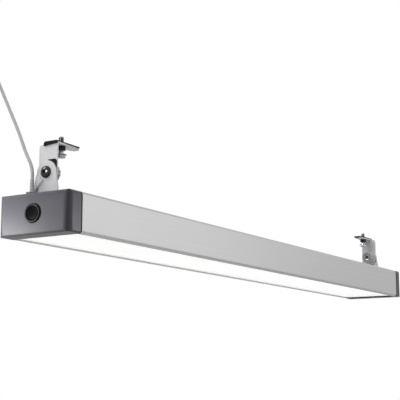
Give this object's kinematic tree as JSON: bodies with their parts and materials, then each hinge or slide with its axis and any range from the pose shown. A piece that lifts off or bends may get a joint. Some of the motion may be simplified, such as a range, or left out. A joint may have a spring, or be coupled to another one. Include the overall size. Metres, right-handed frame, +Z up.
{
  "type": "suspended workbench light",
  "caption": "Long box-shaped workbench light with an opal diffuser, hung under a rail by two tilting clamp brackets, with a push button in one end cap and a mains cord.",
  "frame": {"origin": "midpoint between the two hanger studs, on the rail face that the rubber pads press against", "axes": "+X along the light to the end without the button, +Y to the side of the cord, +Z up towards the rail"},
  "size_m": [1.242, 0.189, 0.3055],
  "materials": {
    "anodised_aluminium": "satin anodised",
    "cap_plastic": "fine textured moulding",
    "gasket_rubber": "matt",
    "steel_screws": "zinc plated",
    "opal_acrylic": "opal",
    "white_steel": "satin white powder coat",
    "board_white": "white solder mask",
    "diode_yellow": "clear resin over phosphor",
    "white_nylon": "moulded",
    "plated_sheet": "zinc plated sheet",
    "board_green": "green solder mask",
    "component_mix": "moulded",
    "terminal_plastic": "moulded",
    "brass_screws": "turned",
    "lead_sheath": "extruded",
    "led_lead_sheath": "extruded",
    "switch_lead_sheath": "extruded",
    "black_plastic": "fine textured moulding",
    "button_gloss": "polished moulding",
    "switch_plastic": "moulded",
    "spring_steel": "drawn wire",
    "cord_sheath": "smooth extruded",
    "rose_white": "moulded",
    "rose_foam": "foam",
    "grey_coat": "satin grey powder coat",
    "pad_rubber": "matt",
    "dark_steel": "black oxide",
    "friction_black": "matt"
  },
  "bodies": {
    "hangers": {"hanger_left": "grey_coat", "hanger_right": "grey_coat", "rail_pads": "pad_rubber", "clamp_bolts": "steel_screws", "clamp_nuts": "dark_steel", "pivot_screws": "dark_steel", "friction_washers": "friction_black", "knob_washers": "steel_screws"},
    "luminaire": {"housing": "anodised_aluminium", "end_cap_left": "cap_plastic", "end_cap_right": "cap_plastic", "cap_gaskets": "gasket_rubber", "cap_screws": "steel_screws", "diffuser": "opal_acrylic", "gear_tray": "white_steel", "tray_screws": "steel_screws", "reflectors": "white_steel", "led_boards": "board_white", "led_chips": "diode_yellow", "board_screws": "white_nylon", "driver_case": "plated_sheet", "driver_lid": "plated_sheet", "driver_board": "board_green", "driver_parts": "component_mix", "driver_screws": "steel_screws", "terminal_block": "terminal_plastic", "terminal_screws": "brass_screws", "earth_screw": "brass_screws", "mains_wires": "lead_sheath", "led_wires": "led_lead_sheath", "switch_wires": "switch_lead_sheath", "button_bezel": "black_plastic", "button_nut": "black_plastic", "switch_block": "switch_plastic", "button_spring": "spring_steel", "cable_gland": "cord_sheath", "gland_nut": "black_plastic", "strain_relief": "cord_sheath", "cord": "cord_sheath", "cord_grip": "cord_sheath", "rose_cover": "rose_white", "rose_base": "rose_white", "rose_pad": "rose_foam", "foot_left": "grey_coat", "foot_right": "grey_coat", "foot_screws": "steel_screws", "nut_plates": "steel_screws"},
    "button": {"button_cap": "button_gloss"},
    "left_knob": {"left_knob": "black_plastic", "left_knob_nut": "steel_screws"},
    "right_knob": {"right_knob": "black_plastic", "right_knob_nut": "steel_screws"}
  },
  "joints": [
    {"name": "tilt", "type": "hinge", "parent": "hangers", "child": "luminaire", "pos_m": [0, 0, -0.0455], "axis": [1, 0, 0], "range_deg": [-60, 60]},
    {"name": "left_knob_turn", "type": "hinge", "parent": "hangers", "child": "left_knob", "pos_m": [-0.5799, 0, -0.0455], "axis": [1, 0, 0], "range_deg": [0, 270]},
    {"name": "right_knob_turn", "type": "hinge", "parent": "hangers", "child": "right_knob", "pos_m": [0.5799, 0, -0.0455], "axis": [-1, 0, 0], "range_deg": [0, 270]},
    {"name": "button_press", "type": "slide", "parent": "luminaire", "child": "button", "axis": [1, 0, 0], "range_m": [0, 0.0025], "stiffness_N_per_m": 800, "springref_m": -0.003, "deforming": ["button_spring"]}
  ]
}
